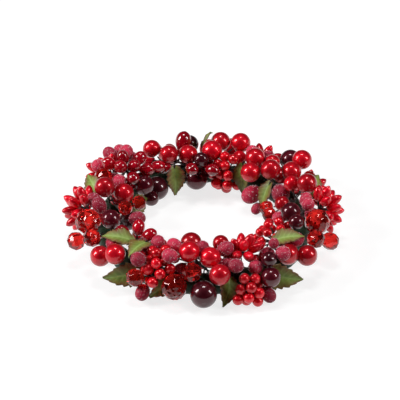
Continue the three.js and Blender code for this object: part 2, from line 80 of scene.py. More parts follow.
def into_scene(made):
    bpy.context.scene.collection.objects.link(made)
    return made


view_line = Vector((0, -math.cos(ELEVATION), math.sin(ELEVATION)))
camera = into_scene(bpy.data.objects.new("camera", bpy.data.cameras.new("camera")))
camera.data.lens = LENS
camera.location = AIM + view_line * DISTANCE
camera.rotation_euler = view_line.to_track_quat("Z", "Y").to_euler()
bpy.context.scene.camera = camera
bpy.context.scene.view_settings.view_transform = "Standard"
print("camera at", tuple(round(x, 3) for x in camera.location))

# %% [markdown]
# ## Softboxes
#
# A glossy berry mirrors its lamps as small white shapes: here a tall one on the left, a narrower one on
# the right and a low one on top. Sun lamps would light the wreath as well, but would leave only pinpricks
# on the lacquer. Rectangular area lamps mirror as windows, so three of them are hung around the wreath.

# %% Hang the softboxes
# Direction from the wreath, distance, width and height in metres, and power in watts
SOFTBOXES = dict(
    left_softbox=((-0.83, -0.10, 0.55), 1.1, 0.27, 0.52, 9.6),
    right_softbox=((0.80, -0.25, 0.55), 1.1, 0.19, 0.45, 5.2),
    top_softbox=((0.0, 0.14, 0.99), 1.2, 0.36, 0.19, 4.8),
)


def softbox(name, direction, distance, width, height, power):
    light = bpy.data.lights.new(name, "AREA")
    light.shape = "RECTANGLE"
    light.size, light.size_y = width, height
    light.energy = power
    box = into_scene(bpy.data.objects.new(name, light))
    box.location = AIM + Vector(direction).normalized() * distance
    box.rotation_euler = Vector(direction).to_track_quat("Z", "Y").to_euler()
    box.visible_camera = False


for name, settings in SOFTBOXES.items():
    softbox(name, *settings)
print(len(SOFTBOXES), "softboxes")

# %% [markdown]
# ## White card
#
# The wreath lies on white card, which is matt. A mirror-like floor would double the berries, so the
# card's surface is rough. The helpers of this cell set a node's inputs by name, each to another node's
# output or to a plain value. Dragging nodes together in the editor gives the same tree, but can't be
# repeated for many materials.

# %% Start the card's material
CARD_TONE = (0.3, 0.3, 0.3, 1)
CARD_ROUGHNESS = 0.9


def nodes_of(name):
    material = bpy.data.materials.new(name)
    material.use_nodes = True
    return material, material.node_tree, material.node_tree.nodes["Principled BSDF"]


def feed(tree, socket, source):
    if isinstance(source, bpy.types.NodeSocket):
        tree.links.new(source, socket)
    else:
        socket.default_value = source


def set_inputs(tree, node, **inputs):
    for name, source in inputs.items():
        feed(tree, node.inputs[name.replace("_", " ")], source)
    return node


card_material, card_tree, card = nodes_of("white_card")
set_inputs(card_tree, card, Base_Color=CARD_TONE, Roughness=CARD_ROUGHNESS)
print(card_material.name, "has roughness", CARD_ROUGHNESS)

# %% [markdown]
# ## Glow of the card
#
# In the photograph the ground is white. In this light the card would come out grey, and more light would
# bleach the berries. So the card glows a little, but only where it is looked at: directly, in a
# reflection or through a clear bead. The ground is then white and keeps a faint shadow, and the card
# doesn't light the berries from below.

# %% Let the card glow where it is seen
CARD_GLOW = 0.78
SEEN_BY = ("Is Camera Ray", "Is Glossy Ray", "Is Transmission Ray")


def add(tree, kind, **inputs):
    return set_inputs(tree, tree.nodes.new(kind), **inputs)


def feed_in_order(tree, node, *sources):
    """Sets the inputs of a node by their places, where they share one name."""
    for socket, source in zip(node.inputs, sources):
        feed(tree, socket, source)
    return node


def computed(tree, operation, *sources):
    node = tree.nodes.new("ShaderNodeMath")
    node.operation = operation
    return feed_in_order(tree, node, *sources).outputs[0]


plain = card.outputs[0]
glow = add(card_tree, "ShaderNodeEmission", Color=(1, 1, 1, 1), Strength=CARD_GLOW).outputs[0]
glowing = feed_in_order(card_tree, card_tree.nodes.new("ShaderNodeAddShader"), plain, glow).outputs[0]
rays = card_tree.nodes.new("ShaderNodeLightPath").outputs
is_seen = rays[SEEN_BY[0]]
for ray in SEEN_BY[1:]:
    is_seen = computed(card_tree, "MAXIMUM", is_seen, rays[ray])
shown = feed_in_order(card_tree, card_tree.nodes.new("ShaderNodeMixShader"), is_seen, plain, glowing)
card_tree.links.new(shown.outputs[0], card_tree.nodes["Material Output"].inputs[0])
print(card_material.name, "is made of", len(card_tree.nodes), "nodes")

# %% [markdown]
# ## Laying the card
#
# The card is one flat sheet, far larger than the picture, so that no berry mirrors its edges. A plane
# from the menu would do; a grid of one face in bmesh needs no window to work in. It lies a hair below the
# frame's ground, so that the flat underside of the tape doesn't share a plane with it.

# %% Lay the card under the wreath
FLOOR_HALF = 3.0
FLOOR_BELOW = 0.2 * MM

card_sheet = bmesh.new()
bmesh.ops.create_grid(card_sheet, x_segments=1, y_segments=1, size=FLOOR_HALF)
floor_mesh = bpy.data.meshes.new("floor")
card_sheet.to_mesh(floor_mesh)
card_sheet.free()
floor_mesh.materials.append(card_material)
floor = into_scene(bpy.data.objects.new("floor", floor_mesh))
floor.location.z = -FLOOR_BELOW
print("card", 2 * FLOOR_HALF, "m wide")

# %% [markdown]
# ## Room light
#
# The room is dim towards the viewer and brighter behind the wreath. An even grey world would be simpler,
# but dark cherries would mirror it all over and turn grey. With a fade from front to back they stay dark
# in the middle and get a pale rim.

# %% Fade the room's light
ROOM_SPAN = (-0.7, 0.9)
ROOM_LIGHT = (0.06, 0.45)


def carried(tree, source, old, new=(0, 1)):
    """A value, carried from an old range to a new one."""
    return add(tree, "ShaderNodeMapRange", Value=source, From_Min=old[0], From_Max=old[1], To_Min=new[0],
               To_Max=new[1]).outputs[0]


world = bpy.data.worlds.new("studio")
world.use_nodes = True
bpy.context.scene.world = world
room = world.node_tree
towards = room.nodes.new("ShaderNodeTexCoord").outputs["Generated"]
axes = add(room, "ShaderNodeSeparateXYZ", Vector=towards).outputs
set_inputs(room, room.nodes["Background"], Strength=carried(room, axes["Y"], ROOM_SPAN, ROOM_LIGHT))
print("room light from", ROOM_LIGHT[0], "in front to", ROOM_LIGHT[1], "behind")

# %% [markdown]
# ## Cutting a pick's solid apart
#
# A pick is a wire stem that ends in a head, from which every berry has a wire of its own. In the frame it
# is one solid. Where a berry sits on its wire, the two skins meet in a hollow crease, and nowhere else on
# a berry does the skin turn inwards. Blender can split loose parts off by itself, but these are joined.
# So the solid's corners are merged, and its faces are walked through from neighbour to neighbour, never
# across a hollow crease.

# %% Walk through the patches of a solid
WELD = 2e-6
CREASE = math.radians(12)


def welded(node):
    bm = bmesh.new()
    bm.from_mesh(frame["nodes"][node].data)
    bmesh.ops.remove_doubles(bm, verts=bm.verts, dist=WELD)
    return bm


def hollow_creases(bm):
    return {e for e in bm.edges if not e.is_convex and e.calc_face_angle(0) > CREASE}


def patches(bm, borders):
    """Groups of faces that can be walked through without crossing a border."""
    seen, groups = set(), []
    for start in bm.faces:
        if start in seen:
            continue
        seen.add(start)
        group = [start]
        for face in group:
            for edge in face.edges:
                for other in edge.link_faces if edge not in borders else ():
                    if other not in seen:
                        seen.add(other)
                        group.append(other)
        groups.append(group)
    return groups


sample = welded("cherry_pick_front")
print(len(patches(sample, hollow_creases(sample))), "patches in the pick of the front cherry")
sample.free()

# %% [markdown]
# ## Telling berries from wires
#
# A patch that is thick every way and about as wide as it is long is a berry, and the rest are wires. The
# berries' places could also be written here as a list, but a list would go wrong as soon as the frame
# changes. So a patch's area, its reach and its least thickness decide.

# %% Tell berries from wires
ROUND_ENOUGH = 0.9
THICK_ENOUGH = 0.7 * MM
BIG_ENOUGH = 25 * MM ** 2


def corners_of(faces):
    return np.array([v.co for v in dict.fromkeys(v for f in faces for v in f.verts)])


def is_berry(faces):
    co = corners_of(faces)
    area = sum(f.calc_area() for f in faces)
    reach = max(np.linalg.norm(co - p, axis=1).max() for p in co)
    thickness = np.linalg.svd(co - co.mean(0), compute_uv=False)[2] / math.sqrt(len(co))
    return area > BIG_ENOUGH and area / reach ** 2 > ROUND_ENOUGH and thickness > THICK_ENOUGH


sample = welded("mini_berry_cluster_right")
groups = patches(sample, hollow_creases(sample))
print(sum(is_berry(group) for group in groups), "tiny berries among the", len(groups), "patches of a cluster")
sample.free()

# %% [markdown]
# ## Measuring a berry
#
# A berry in the frame is a coarse ball or egg. Fitting a sphere to its corners would do for round
# berries, but not for drops and pips. So its foot is taken as the middle of the crease, its tip as the
# corner that is farthest from the foot, and its diameter is measured across the line between the two. A
# coarse ball may have no corners at its widest place, and the number of its rings of corners corrects
# this.

# %% Measure one berry
# How much longer than wide each kind is, and how many facets the solid has from pole to pole
STRETCH = dict(red_berry=1, cherry=1, crystal=1, frosted=1.25, drop=1.3, pip=1.75, mini_berry=1)
RINGS = dict(red_berry=4, cherry=4, crystal=4, frosted=4, drop=4, pip=3, mini_berry=3)


def measure_berry(faces, creases, kind):
    """Middle, axis from the stem to the tip, and diameter."""
    co = corners_of(faces)
    rim = np.array([v.co for f in faces for e in f.edges if e in creases for v in e.verts])
    foot = rim.mean(0)
    tip = co[np.argmax(np.linalg.norm(co - foot, axis=1))]
    axis = (tip - foot) / np.linalg.norm(tip - foot)
    out = (co - foot) - np.outer((co - foot) @ axis, axis)
    widest = max(math.sin(math.pi * ring / RINGS[kind]) for ring in range(1, RINGS[kind]))
    diameter = 2 * np.linalg.norm(out, axis=1).max() / widest
    middle = tip - axis * diameter * STRETCH[kind] / 2
    return dict(middle=Vector(middle), axis=Vector(axis), diameter=diameter)


print("berries are found of", len(STRETCH), "kinds")

# %% [markdown]
# ## Taking the picks apart
#
# On the bench the wires come first and the berries are pushed on them. The other way round, the berries'
# patches are taken out of every pick here, and the holes that they leave are closed, so that bare wires
# remain. A new solid could be cut with Boolean tools, but deleting whole patches leaves the wires just as
# they are.

# %% Take berries and wires out of every pick
def take_out(bm, faces):
    """Deletes faces and closes the holes that they leave."""
    bmesh.ops.delete(bm, geom=faces, context="FACES")
    bmesh.ops.holes_fill(bm, edges=[e for e in bm.edges if e.is_boundary], sides=0)


def find_pick(node):
    """The berries of a pick, and a mesh of its bare wires."""
    bm = welded(node)
    creases = hollow_creases(bm)
    berries = [group for group in patches(bm, creases) if is_berry(group)]
    found = [measure_berry(group, creases, slot_of[node]) for group in berries]
    take_out(bm, [f for group in berries for f in group])
    return found, bm


picks = {node: find_pick(node) for node, slot in slot_of.items() if slot in STRETCH}
print(sum(len(found) for found, wires in picks.values()), "berries on", len(picks), "picks")

# %% [markdown]
# ## Uneven colour
#
# Dipped paint and dyed cloth are never quite even, and no two berries have the same tone. The noise could
# be built anew in each material. As a node group with named sockets, *Mottle* is built once: it mixes a
# dark and a light colour by a soft noise and by a tone that every berry carries as an attribute of its
# points.

# %% Mottle, which varies a colour
NOISE_SPAN = (0.3, 0.7)
NOISE_REACH = (-0.5, 0.5)
SOFT_DETAIL = 3


def new_group(name, inputs, output, output_kind):
    group = bpy.data.node_groups.new(name, "ShaderNodeTree")
    for socket, kind, value in inputs:
        group.interface.new_socket(socket, in_out="INPUT", socket_type=kind).default_value = value
    group.interface.new_socket(output, in_out="OUTPUT", socket_type=output_kind)
    return group, group.nodes.new("NodeGroupInput").outputs, group.nodes.new("NodeGroupOutput")


def cloud(tree, scale, detail):
    place = tree.nodes.new("ShaderNodeTexCoord").outputs["Object"]
    return add(tree, "ShaderNodeTexNoise", Vector=place, Scale=scale, Detail=detail).outputs[0]


def attribute(tree, name):
    node = tree.nodes.new("ShaderNodeAttribute")
    node.attribute_name = name
    return node.outputs["Fac"]


def mixed(tree, share, first, second):
    node = tree.nodes.new("ShaderNodeMix")
    node.data_type = "RGBA"
    return set_inputs(tree, node, Factor=share, A=first, B=second).outputs["Result"]


mottle, given, result = new_group(
    "Mottle",
    [("Dark", "NodeSocketColor", (0, 0, 0, 1)), ("Light", "NodeSocketColor", (1, 1, 1, 1)),
     ("Scale", "NodeSocketFloat", 300), ("Amount", "NodeSocketFloat", 0.5)],
    "Color", "NodeSocketColor")
spread = carried(mottle, cloud(mottle, given["Scale"], SOFT_DETAIL), NOISE_SPAN, NOISE_REACH)
share = computed(mottle, "MULTIPLY_ADD", spread, given["Amount"], attribute(mottle, "tone"))
set_inputs(mottle, result, Color=mixed(mottle, share, given["Dark"], given["Light"]))
print(mottle.name, "is made of", len(mottle.nodes), "nodes")

# %% [markdown]
# ## Fine skin
#
# Wrapped wire, waxed tape, cloth and sugared skins are rough by less than the width of a hair. As
# modelled faces this would take millions. *Skin*, a second group, turns fine noise into a bump, which
# tilts the light and leaves the mesh alone. Anything larger, such as teeth, veins, folds and grains, is
# modelled.

# %% Skin, which roughens a surface
BUMP_HEIGHT = 0.3 * MM
FINE_DETAIL = 4

skin, given, result = new_group(
    "Skin",
    [("Scale", "NodeSocketFloat", 900), ("Depth", "NodeSocketFloat", 0.2)],
    "Normal", "NodeSocketVector")
roughness = cloud(skin, given["Scale"], FINE_DETAIL)
bump = add(skin, "ShaderNodeBump", Strength=given["Depth"], Distance=BUMP_HEIGHT, Height=roughness)
set_inputs(skin, result, Normal=bump.outputs[0])
print(skin.name, "is made of", len(skin.nodes), "nodes")

# %% [markdown]
# ## Pearl paint under clear lacquer
#
# Red berries, cherries, pips and tiny berries are dipped twice: in paint with pearl flakes, which has a
# satin shine of its own, and in clear lacquer, which mirrors the lamps. One glossy layer would give the
# mirror only. So the paint is half metallic and rather rough, and a smooth coat lies over it. The
# cherries' coat is the smoothest.

# %% Mix the lacquers
MATERIALS = {}
PEARL = dict(Metallic=0.45, Roughness=0.45, Specular_IOR_Level=0.2, Coat_Weight=0.85, Coat_IOR=1.5,
             Coat_Roughness=0.06)
DEEP_PEARL = dict(PEARL, Coat_Weight=1.0, Coat_Roughness=0.03)


def group_node(tree, group, *values):
    node = tree.nodes.new("ShaderNodeGroup")
    node.node_tree = group
    return feed_in_order(tree, node, *values).outputs[0]


def finish(name, dark, light, mottling=(300, 0.4), texture=(900, 0.05), **sockets):
    """Mottled colour and a fine bump, each by scale and amount, with other sockets set directly."""
    material, tree, surface = nodes_of(name)
    colour = group_node(tree, mottle, (*dark, 1), (*light, 1), *mottling)
    relief = group_node(tree, skin, *texture)
    set_inputs(tree, surface, Base_Color=colour, Normal=relief, **sockets)
    return material


MATERIALS["red_berry"] = finish("red_lacquer", (0.38, 0.001, 0.008), (0.84, 0.002, 0.018), **PEARL)
MATERIALS["cherry"] = finish("burgundy_lacquer", (0.040, 0.001, 0.005), (0.105, 0.0015, 0.010), **DEEP_PEARL)
MATERIALS["pip"] = finish("bright_lacquer", (0.56, 0.001, 0.012), (0.95, 0.003, 0.024), **PEARL)
MATERIALS["mini_berry"] = finish("scarlet_lacquer", (0.54, 0.001, 0.008), (0.95, 0.003, 0.018), **PEARL)
print(len(MATERIALS), "lacquers")

# %% [markdown]
# ## Outline of a berry
#
# A round berry is a light ball with a dimple where its wire goes in and a small scar at the tip. A sphere
# from the menu has neither, and pushing its points about would be guesswork. Seen from the side, half of
# the berry's outline is a plain curve from the stem to the tip, so the marks are drawn into that curve.

# %% Draw half an outline
UNIT_RADIUS = 0.5
DIMPLE_WIDTH = 0.3
SCAR_WIDTH = 0.16


def berry_profile(steps, stretch=1.0, dimple=0.06, scar=0.02, taper=0.0):
    """Radius and height from stem to tip. A scar below nought is a point, and taper widens the tip."""
    profile = []
    for step in range(steps + 1):
        turn = math.pi * step / steps
        height = -math.cos(turn) * UNIT_RADIUS * stretch
        height += dimple * math.exp(-(turn / DIMPLE_WIDTH) ** 2)
        height -= scar * math.exp(-((math.pi - turn) / SCAR_WIDTH) ** 2)
        radius = math.sin(turn) * UNIT_RADIUS * (1 - taper * (0.5 - turn / math.pi))
        profile.append((0.0 if step in (0, steps) else radius, height))
    return profile


print("a berry's dimple lies", round(berry_profile(20)[0][1] + UNIT_RADIUS, 2), "of its width deep")

# %% [markdown]
# ## Turned berries
#
# Spinning the half outline about the stem makes the whole skin at once, as a lathe would. The points on
# the axis fall together and are merged, and the faces are turned outwards afterwards. Each form is made
# once, one unit across, with its stem below, and is later copied to every berry of its kind. Red berries
# come with a shallow and a deep dimple, so that neighbours differ.

# %% Turn the round berries
FORMS = {}
POLE_MERGE = 1e-4
# Places of the materials on a piece: berry or blade, wire, and sugar or a blade's underside
SKIN_SLOT, WIRE_SLOT, EXTRA_SLOT = 0, 1, 2


def turned(profile, sides):
    """A closed skin turned about the Z axis from (radius, height) pairs that start and end on the axis."""
    bm = bmesh.new()
    points = [bm.verts.new((radius, 0, height)) for radius, height in profile]
    edges = [bm.edges.new(pair) for pair in zip(points, points[1:])]
    bmesh.ops.spin(bm, geom=points + edges, cent=(0, 0, 0), axis=(0, 0, 1), angle=2 * math.pi, steps=sides,
                   use_merge=True)
    bmesh.ops.remove_doubles(bm, verts=bm.verts, dist=POLE_MERGE)
    bmesh.ops.recalc_face_normals(bm, faces=bm.faces)
    return bm


def form(name, bm, smooth=True):
    """A mesh of the form. Faces that aren't skin, such as grains, stay flat."""
    mesh = bpy.data.meshes.new(name)
    for face in bm.faces:
        face.smooth = smooth and face.material_index == SKIN_SLOT
    bm.to_mesh(mesh)
    bm.free()
    return mesh


def round_form(name, steps, sides, **marks):
    return form(name, turned(berry_profile(steps, **marks), sides))


FORMS["red_berry"] = [round_form("red_berry", steps=20, sides=28, dimple=depth) for depth in (0.05, 0.09)]
FORMS["cherry"] = [round_form("cherry", steps=20, sides=28, dimple=0.09, scar=0.03)]
FORMS["mini_berry"] = [round_form("mini_berry", steps=12, sides=16, scar=0.04)]
print({kind: [len(mesh.polygons) for mesh in meshes] for kind, meshes in FORMS.items()})

# %% [markdown]
# ## Drops and pips
#
# A drop is soft and translucent and swells towards its tip. A pip is slim, narrows and ends in a point.
# Both could be stretched balls, but those are blunt. The same turned outline makes them, with a taper and
# a point in place of the scar. Part of the light goes through a drop and the rest is coloured by its
# skin, so its transmission is partial.

# %% Turn the drops and pips
FORMS["drop"] = [round_form("drop", steps=16, sides=20, stretch=STRETCH["drop"], scar=-0.03, taper=0.3)]
FORMS["pip"] = [round_form("pip", steps=12, sides=14, stretch=STRETCH["pip"], dimple=0.0, scar=-0.04,
                           taper=-0.35)]
MATERIALS["drop"] = finish("clear_red", (0.36, 0.001, 0.010), (0.78, 0.004, 0.022), Roughness=0.2,
                           Transmission_Weight=0.4, IOR=1.45, Coat_Weight=0.9, Coat_Roughness=0.04)
print("a drop and a pip of", [len(FORMS[kind][0].polygons) for kind in ("drop", "pip")], "faces")

# %% [markdown]
# ## Facets of a clear bead
#
# The clear beads are moulded in red acrylic with flat facets. No facet lies quite true, and the worn edges
# between them glint. A smooth glass ball would show nothing of this, and a perfectly even cut gives large
# patches of one red. So the corners of a coarse ball are moved a little by chance and its edges are
# bevelled. The light and dark reds that facets show under the lamps are painted as well: each facet gets a
# painted tone of its own, lighter or darker by chance. Facets are taken in the order of their places,
# because a mesh may keep its faces in another order on the next run.

# %% Cut one bead
SEED = 11
UNEVEN_CUT = (0.93, 1.03)
WORN_EDGE = 0.012
PAINTED_FACET_SPARKLE = (-0.6, 0.6)
PLACE_DIGITS = 4
chance = random.Random(SEED)


def by_place(face):
    return [round(x, PLACE_DIGITS) for x in face.calc_center_median()]


def cut_bead(name, bm):
    for vert in bm.verts:
        vert.co *= chance.uniform(*UNEVEN_CUT)
    bmesh.ops.triangulate(bm, faces=bm.faces[:])
    bevels = bmesh.ops.bevel(bm, geom=bm.edges[:], offset=WORN_EDGE, affect="EDGES", segments=1, profile=0.5,
                             material=-1)["faces"]
    narrow = set(bevels)
    tone_layer = bm.verts.layers.float.new("tone")
    # Painted sparkle: each facet is made lighter or darker by chance, in place of the light that its angle
    # would catch.
    for facet in sorted((face for face in bm.faces if face not in narrow), key=by_place):
        painted_sparkle = chance.uniform(*PAINTED_FACET_SPARKLE)
        for vert in facet.verts:
            vert[tone_layer] = painted_sparkle
    return form(name, bm, smooth=False)


print("facets vary in tone by", PAINTED_FACET_SPARKLE)

# %% [markdown]
# ## Two cuts of clear bead
#
# Some beads are cut all over in triangles, others in rings from hole to hole, and large beads have more
# facets than small ones. One cut would do from afar, but side by side the beads would look cloned. So an
# icosphere and a turned stack of rings are cut, each in two finenesses. Acrylic bends light almost as
# glass does: hardly any roughness, high transmission, and a reddish mirror so that white lamps don't wash
# the colour out.

# %% Cut the clear beads
def round_cut(fineness):
    bm = bmesh.new()
    bmesh.ops.create_icosphere(bm, subdivisions=fineness, radius=UNIT_RADIUS)
    return cut_bead("round_cut", bm)


def ring_cut(sides, rings):
    turns = [math.pi * ring / rings for ring in range(1, rings)]
    profile = [(UNIT_RADIUS * math.sin(turn), -UNIT_RADIUS * math.cos(turn)) for turn in turns]
    return cut_bead("ring_cut", turned([(0, profile[0][1]), *profile, (0, profile[-1][1])], sides))


FORMS["crystal"] = [round_cut(fineness=2), ring_cut(sides=9, rings=7)]
FORMS["large_crystal"] = [round_cut(fineness=3), ring_cut(sides=13, rings=9)]
MATERIALS["crystal"] = finish("red_acrylic", (0.13, 0.003, 0.005), (1.0, 0.030, 0.024), texture=(400, 0.0),
                              Roughness=0.02, Transmission_Weight=0.86, IOR=1.54,
                              Specular_Tint=(1.0, 0.5, 0.5, 1), Coat_Weight=0.35)
print([len(mesh.polygons) for mesh in FORMS["crystal"] + FORMS["large_crystal"]], "faces on the clear beads")

# %% [markdown]
# ## Sugared berries
#
# These rose berries are rolled in fine clear grains, which stand off the skin and give it a pale bloom. A
# bump in the material would leave the outline smooth, and a particle system would be one more thing to
# convert. So small grains are sunk halfway into the skin at places drawn by chance, and sheen adds the
# bloom. A grain has only twenty faces, because there are many of them.

# %% Roll berries in sugar
GRAINS = 190
GRAIN = (0.010, 0.031)
SUGARED_FORMS = 3


def sugared(stretch):
    bm = turned(berry_profile(steps=16, stretch=stretch, taper=0.2), sides=22)
    for i in range(GRAINS):
        height = 1 - 2 * (i + chance.random()) / GRAINS
        turn = chance.uniform(0, 2 * math.pi)
        ring = math.sqrt(1 - height * height) / 2
        place = Matrix.Translation((ring * math.cos(turn), ring * math.sin(turn), height * stretch / 2))
        tilt = Matrix.Rotation(chance.uniform(0, math.pi), 4, Vector((chance.random(), chance.random(), 1)))
        crumb = bmesh.ops.create_icosphere(bm, subdivisions=1, radius=chance.uniform(*GRAIN),
                                           matrix=place @ tilt)["verts"]
        for face in {face for vert in crumb for face in vert.link_faces}:
            face.material_index = EXTRA_SLOT
    return form("sugared", bm)


FORMS["frosted"] = [sugared(STRETCH["frosted"]) for _ in range(SUGARED_FORMS)]
MATERIALS["frosted"] = finish("sugared_rose", (0.30, 0.008, 0.032), (0.70, 0.030, 0.085), texture=(2200, 0.6),
                              Roughness=0.5, Specular_IOR_Level=0.3, Sheen_Weight=1.0,
                              Sheen_Tint=(1.0, 0.80, 0.84, 1), Sheen_Roughness=0.28)
SUGAR = finish("sugar_grains", (0.75, 0.42, 0.48), (0.95, 0.80, 0.83), mottling=(900, 1.0),
               texture=(900, 0.0), Roughness=0.25)
print(GRAINS, "grains on each of", len(FORMS["frosted"]), "sugared forms")

# %% [markdown]
# ## Wires
#
# The stems are thin wires, wrapped in dark paper. In the frame they are coarse prisms that meet at the
# head of their pick. New tubes could be swept along them, but the heads would have to be built by hand.
# So the bare wires are remeshed into small even faces and relaxed until they are round. This is worked
# out in millimetres, where the remesher's numbers are of a handy size.

# %% Round off the wires
WIRE_VOXEL = 0.32
WIRE_RELAX = 4
STEM = finish("wrapped_wire", (0.022, 0.006, 0.006), (0.085, 0.009, 0.014), mottling=(700, 1.0),
              texture=(1500, 0.8), Roughness=0.5)


def baked_wires(name, bm):
    """The wires in bm, remeshed and relaxed."""
    mesh = bpy.data.meshes.new(name)
    bmesh.ops.scale(bm, vec=Vector((1, 1, 1)) / MM, verts=bm.verts)
    bm.to_mesh(mesh)
    bm.free()
    holder = into_scene(bpy.data.objects.new(name, mesh))
    remesh = holder.modifiers.new("even", "REMESH")
    remesh.mode = "VOXEL"
    remesh.voxel_size = WIRE_VOXEL
    relax = holder.modifiers.new("relax", "SMOOTH")
    relax.iterations = WIRE_RELAX
    baked = bpy.data.meshes.new_from_object(holder.evaluated_get(bpy.context.evaluated_depsgraph_get()))
    baked.transform(Matrix.Scale(MM, 4))
    bpy.data.objects.remove(holder)
    return baked


def begin_with_wires(node, wires):
    """A mesh that starts with a node's wires, and holds a tone for what is added."""
    bm = bmesh.new()
    bm.from_mesh(baked_wires(node, wires))
    bm.verts.layers.float.new("tone")
    for face in bm.faces:
        face.material_index = WIRE_SLOT
        face.smooth = True
    return bm


print("wires are remeshed to", WIRE_VOXEL, "mm and relaxed", WIRE_RELAX, "times")

# %% [markdown]
# ## Setting a berry on its wire
#
# On the bench a berry is pushed on its wire and glued, turned any way round, and no berry is perfectly
# round. The same form with the same turn on every wire would give the copying away. So a form is chosen
# by chance, aimed along its wire, turned and squashed a little. Berries are somewhat fuller than the
# frame's coarse solids, whose few facets cut the roundness short. Picks that end their bend against a
# neighbour stay slimmer, to leave room for it.

# %% Choose a form and a place
FULLNESS = dict(red_berry=1.03, cherry=1.03, crystal=1.03, frosted=1.06, drop=1.08, pip=1.12, mini_berry=1.1)
SNUG = ("cherry_pick_back_right", "cherry_pick_front", "frosted_pick_right", "leaf_back_inner",
        "leaf_front_left", "mini_berry_cluster_front_inner", "mini_berry_cluster_right",
        "red_berry_pick_back_left")
SNUG_FULLNESS = 0.94
SQUASH = (0.97, 1.01)
LARGE_BEAD = 13 * MM


def fullness(node, usual):
    return SNUG_FULLNESS if node in SNUG else usual


def form_for(kind, berry):
    is_large = kind == "crystal" and berry["diameter"] > LARGE_BEAD
    return chance.choice(FORMS["large_crystal" if is_large else kind])


def berry_matrix(berry, full):
    aim = berry["axis"].to_track_quat("Z", "Y").to_matrix().to_4x4()
    spin = Matrix.Rotation(chance.uniform(0, 2 * math.pi), 4, "Z")
    squash = Matrix.Diagonal((*(chance.uniform(*SQUASH) for _ in range(3)), 1))
    size = Matrix.Scale(berry["diameter"] * full, 4)
    return Matrix.Translation(berry["middle"]) @ aim @ spin @ squash @ size


print(len(SNUG), "pieces stay slimmer than the rest")

# %% [markdown]
# ## Whole picks
#
# A pick with its stem and berries is one piece, and is bent as one. Linked copies of the berries would be
# lighter, but would be separate objects. So each form is copied into the mesh that began with the wires,
# with the berry's tone added to its points. The finished object rides on its node's body, so that it
# follows the hinge, and stands for the node in the visual model.

# %% Dress the picks
TONES = (0.0, 0.95)
BEAD_TONES = (0.55, 1.1)


def add_copy(bm, mesh, matrix, tone_value):
    copy = mesh.copy()
    copy.transform(matrix)
    before = len(bm.verts)
    bm.from_mesh(copy)
    bpy.data.meshes.remove(copy)
    bm.verts.ensure_lookup_table()
    tone_layer = bm.verts.layers.float["tone"]
    for vert in bm.verts[before:]:
        vert[tone_layer] += tone_value


def piece(name, bm, node, materials):
    """A finished mesh object that stands for a node and moves with its body."""
    mesh = bpy.data.meshes.new(name)
    bm.to_mesh(mesh)
    bm.free()
    for material in materials:
        mesh.materials.append(material)
    made = into_scene(bpy.data.objects.new(name, mesh))
    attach(made, body_of[node])
    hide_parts(node)
    return made


def dress_pick(node):
    found, wires = picks[node]
    kind = slot_of[node]
    bm = begin_with_wires(node, wires)
    full = fullness(node, FULLNESS[kind])
    tones = BEAD_TONES if kind == "crystal" else TONES
    for berry in found:
        add_copy(bm, form_for(kind, berry), berry_matrix(berry, full), chance.uniform(*tones))
    return piece(f"dressed_{node}", bm, node, [MATERIALS[kind], STEM, SUGAR])


dressed = [dress_pick(node) for node in sorted(picks)]
print(sum(len(made.data.polygons) for made in dressed), "faces on the picks")

# %% [markdown]
# ## Directions of a leaf
#
# A leaf's face looks up and away from the hoop, and its midrib runs away from the stalk. These directions
# could be set by hand for every leaf. They are read off the blade's corners instead: it reaches farthest
# along its midrib and least out of its face. To know which way is away from the hoop, the hoop is
# measured first.

# %% Measure the hoop, and read a blade's directions
LEAF_LIFT = 6 * MM
LEAF_SPAN = (0.04, 0.98)
LEAF_ARCH = 0.1
BASE_CORNERS = 4
MIDRIB_SHARE = 0.3

low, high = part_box("hoop_wire")
hoop_wire = high.z - low.z
hoop_radius = (high.x - low.x - hoop_wire) / 2
hoop_height = (high.z + low.z) / 2


def blade_frame(blade, stem_foot):
    """Base, directions along, across and out of the face, and the length and width of a blade."""
    co = corners_of(blade)
    middle = co.mean(0)
    along, across, face = np.linalg.svd(co - middle, full_matrices=False)[2]
    if (stem_foot - middle) @ along > 0:
        along = -along
    on_hoop = middle[:2] * hoop_radius / np.linalg.norm(middle[:2])
    outward = middle - [*on_hoop, hoop_height] + [0, 0, LEAF_LIFT]
    if outward @ face < 0:
        face = -face
    across = np.cross(face, along)
    spread = np.abs((co - middle) @ across)
    reach = (co - middle) @ along
    length = (reach.max() - reach.min()) / (LEAF_SPAN[1] - LEAF_SPAN[0])
    base = middle + along * (reach.min() - LEAF_SPAN[0] * length)
    ends = np.argsort(reach)[:BASE_CORNERS]
    base = base + across * ((co[ends] - base) @ across).mean()
    ribs = co[spread < MIDRIB_SHARE * spread.max()]
    base = base + face * (((ribs - base) @ face).min() + LEAF_ARCH * length)
    return [Vector(x) for x in (base, along, across, face)] + [length, 2 * spread.max()]


print(f"hoop of {hoop_wire / MM:.1f} mm wire, {hoop_radius / MM:.1f} mm from its middle")

# %% [markdown]
# ## Taking the leaves apart
#
# A leaf is a thin toothed blade on a wire stalk that comes from behind it. Where they meet there is no
# crease to cut along, as there is at a berry. But in the frame the blade's faces are wide and the stalk's
# are narrow, so the border between wide and narrow faces parts them.

# %% Take blades and stalks out of the leaves
WIRE_FACE = 1.0 * MM


def is_narrow(face):
    return 2 * face.calc_area() / max(e.calc_length() for e in face.edges) < WIRE_FACE


def blade_borders(bm):
    return {e for e in bm.edges if len({is_narrow(f) for f in e.link_faces}) > 1}


def find_leaf(node):
    """The measures of a leaf's blade, and a mesh of its bare stalk."""
    solid = welded(node)
    wires = [group for group in patches(solid, blade_borders(solid)) if is_narrow(group[0])]
    stalk = max(wires, key=lambda group: sum(f.calc_area() for f in group))
    measures = blade_frame([f for f in solid.faces if not is_narrow(f)], corners_of(stalk).mean(0))
    kept = set(stalk)
    take_out(solid, [f for f in solid.faces if f not in kept])
    return measures, solid


